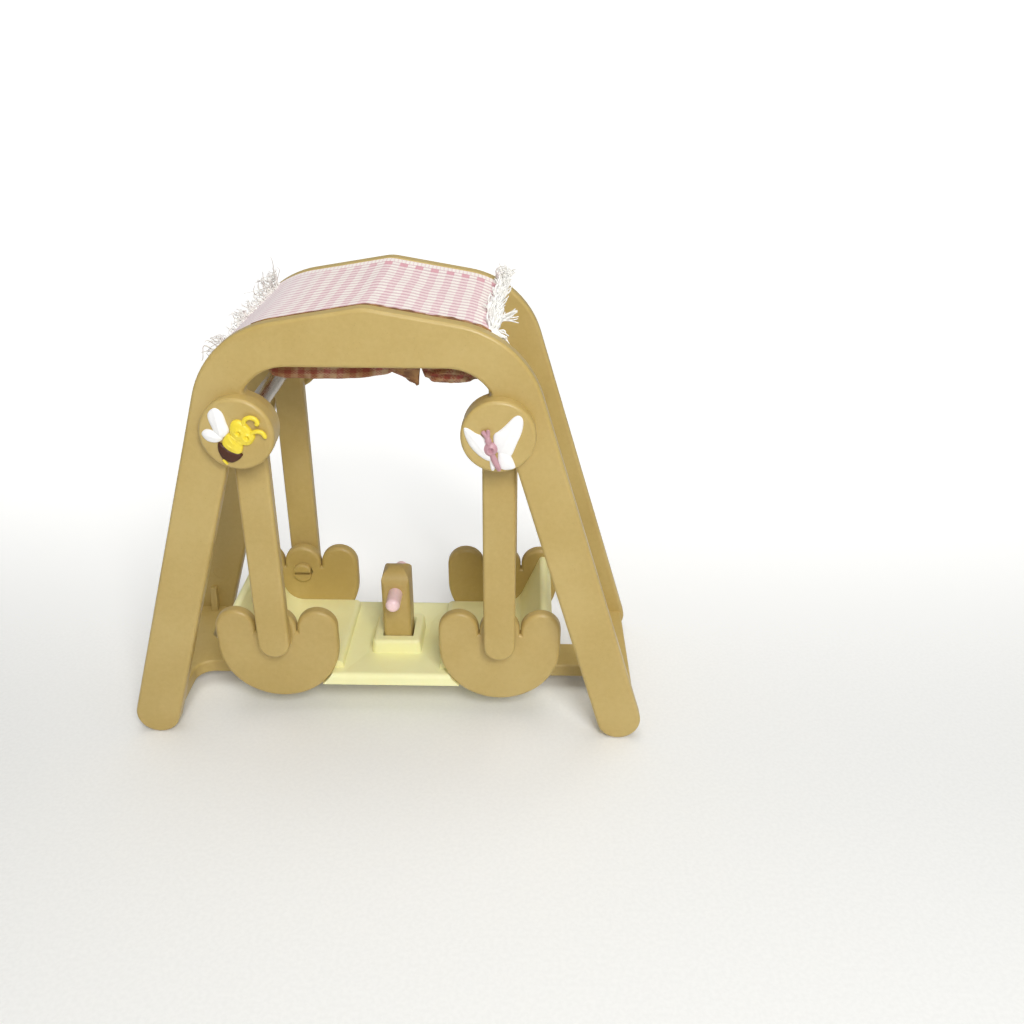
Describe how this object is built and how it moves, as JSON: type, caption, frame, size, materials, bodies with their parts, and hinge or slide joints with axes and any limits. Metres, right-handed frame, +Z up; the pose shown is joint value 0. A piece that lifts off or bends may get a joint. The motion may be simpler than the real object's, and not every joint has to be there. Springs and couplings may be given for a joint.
{
  "type": "toy baby swing",
  "caption": "Dolls' house baby swing: A-shaped frame with gingham canopy, and a two-seat basket with cloud-shaped sides that swings level on four arms.",
  "frame": {"origin": "on the floor under the middle of the whole swing", "axes": "+X across the swing, from the left legs to the right legs, along the way it swings; +Y from the front plate with the figures to the rear plate; +Z up"},
  "size_m": [0.1166, 0.0552, 0.1006],
  "materials": {
    "tan_plastic": "satin wood-coloured moulded plastic, faintly speckled",
    "cream_plastic": "soft gloss pale cream moulded plastic",
    "pink_plastic": "soft gloss pale pink plastic rod",
    "steel_rod": "drawn steel rod",
    "yellow_paint": "satin yellow paint on moulded relief",
    "brown_paint": "satin dark brown paint on moulded relief",
    "white_paint": "satin white paint on moulded relief",
    "mauve_paint": "satin pink-mauve paint on moulded relief",
    "gingham_cloth": "pink and white cotton gingham"
  },
  "bodies": {
    "frame": {"front_frame": "tan_plastic", "rear_frame": "tan_plastic", "base": "tan_plastic", "left_axle": "steel_rod", "right_axle": "steel_rod", "front_left_cap": "tan_plastic", "front_right_cap": "tan_plastic", "rear_left_cap": "tan_plastic", "rear_right_cap": "tan_plastic", "bee_body": "yellow_paint", "bee_abdomen": "brown_paint", "bee_wings": "white_paint", "butterfly_body": "mauve_paint", "butterfly_wings": "white_paint", "canopy": "gingham_cloth"},
    "front_left_arm_body": {"front_left_arm": "tan_plastic"},
    "front_right_arm_body": {"front_right_arm": "tan_plastic"},
    "rear_left_arm_body": {"rear_left_arm": "tan_plastic"},
    "rear_right_arm_body": {"rear_right_arm": "tan_plastic"},
    "basket": {"tray": "cream_plastic", "front_left_cloud": "tan_plastic", "front_right_cloud": "tan_plastic", "rear_left_cloud": "tan_plastic", "rear_right_cloud": "tan_plastic", "handle_post": "tan_plastic", "handle_bar": "pink_plastic"}
  },
  "joints": [
    {"name": "front_left_swing", "type": "hinge", "parent": "frame", "child": "front_left_arm_body", "pos_m": [-0.02565, -0.01787, 0.07617], "axis": [0, -1, 0], "range_deg": [-30, 30]},
    {"name": "front_right_swing", "type": "hinge", "parent": "frame", "child": "front_right_arm_body", "pos_m": [0.02565, -0.01787, 0.07617], "axis": [0, -1, 0], "range_deg": [-30, 30]},
    {"name": "rear_left_swing", "type": "hinge", "parent": "frame", "child": "rear_left_arm_body", "pos_m": [-0.02565, 0.01897, 0.07617], "axis": [0, -1, 0], "range_deg": [-30, 30]},
    {"name": "rear_right_swing", "type": "hinge", "parent": "frame", "child": "rear_right_arm_body", "pos_m": [0.02565, 0.01897, 0.07617], "axis": [0, -1, 0], "range_deg": [-30, 30]},
    {"name": "basket_level", "type": "hinge", "parent": "front_left_arm_body", "child": "basket", "pos_m": [-0.02565, -0.01448, 0.0219], "axis": [0, -1, 0], "range_deg": [-30, 30]}
  ],
  "couplings": [
    {"joint": "front_right_swing", "follows": "front_left_swing", "ratio": 1},
    {"joint": "rear_left_swing", "follows": "front_left_swing", "ratio": 1},
    {"joint": "rear_right_swing", "follows": "front_left_swing", "ratio": 1},
    {"joint": "basket_level", "follows": "front_left_swing", "ratio": -1}
  ]
}
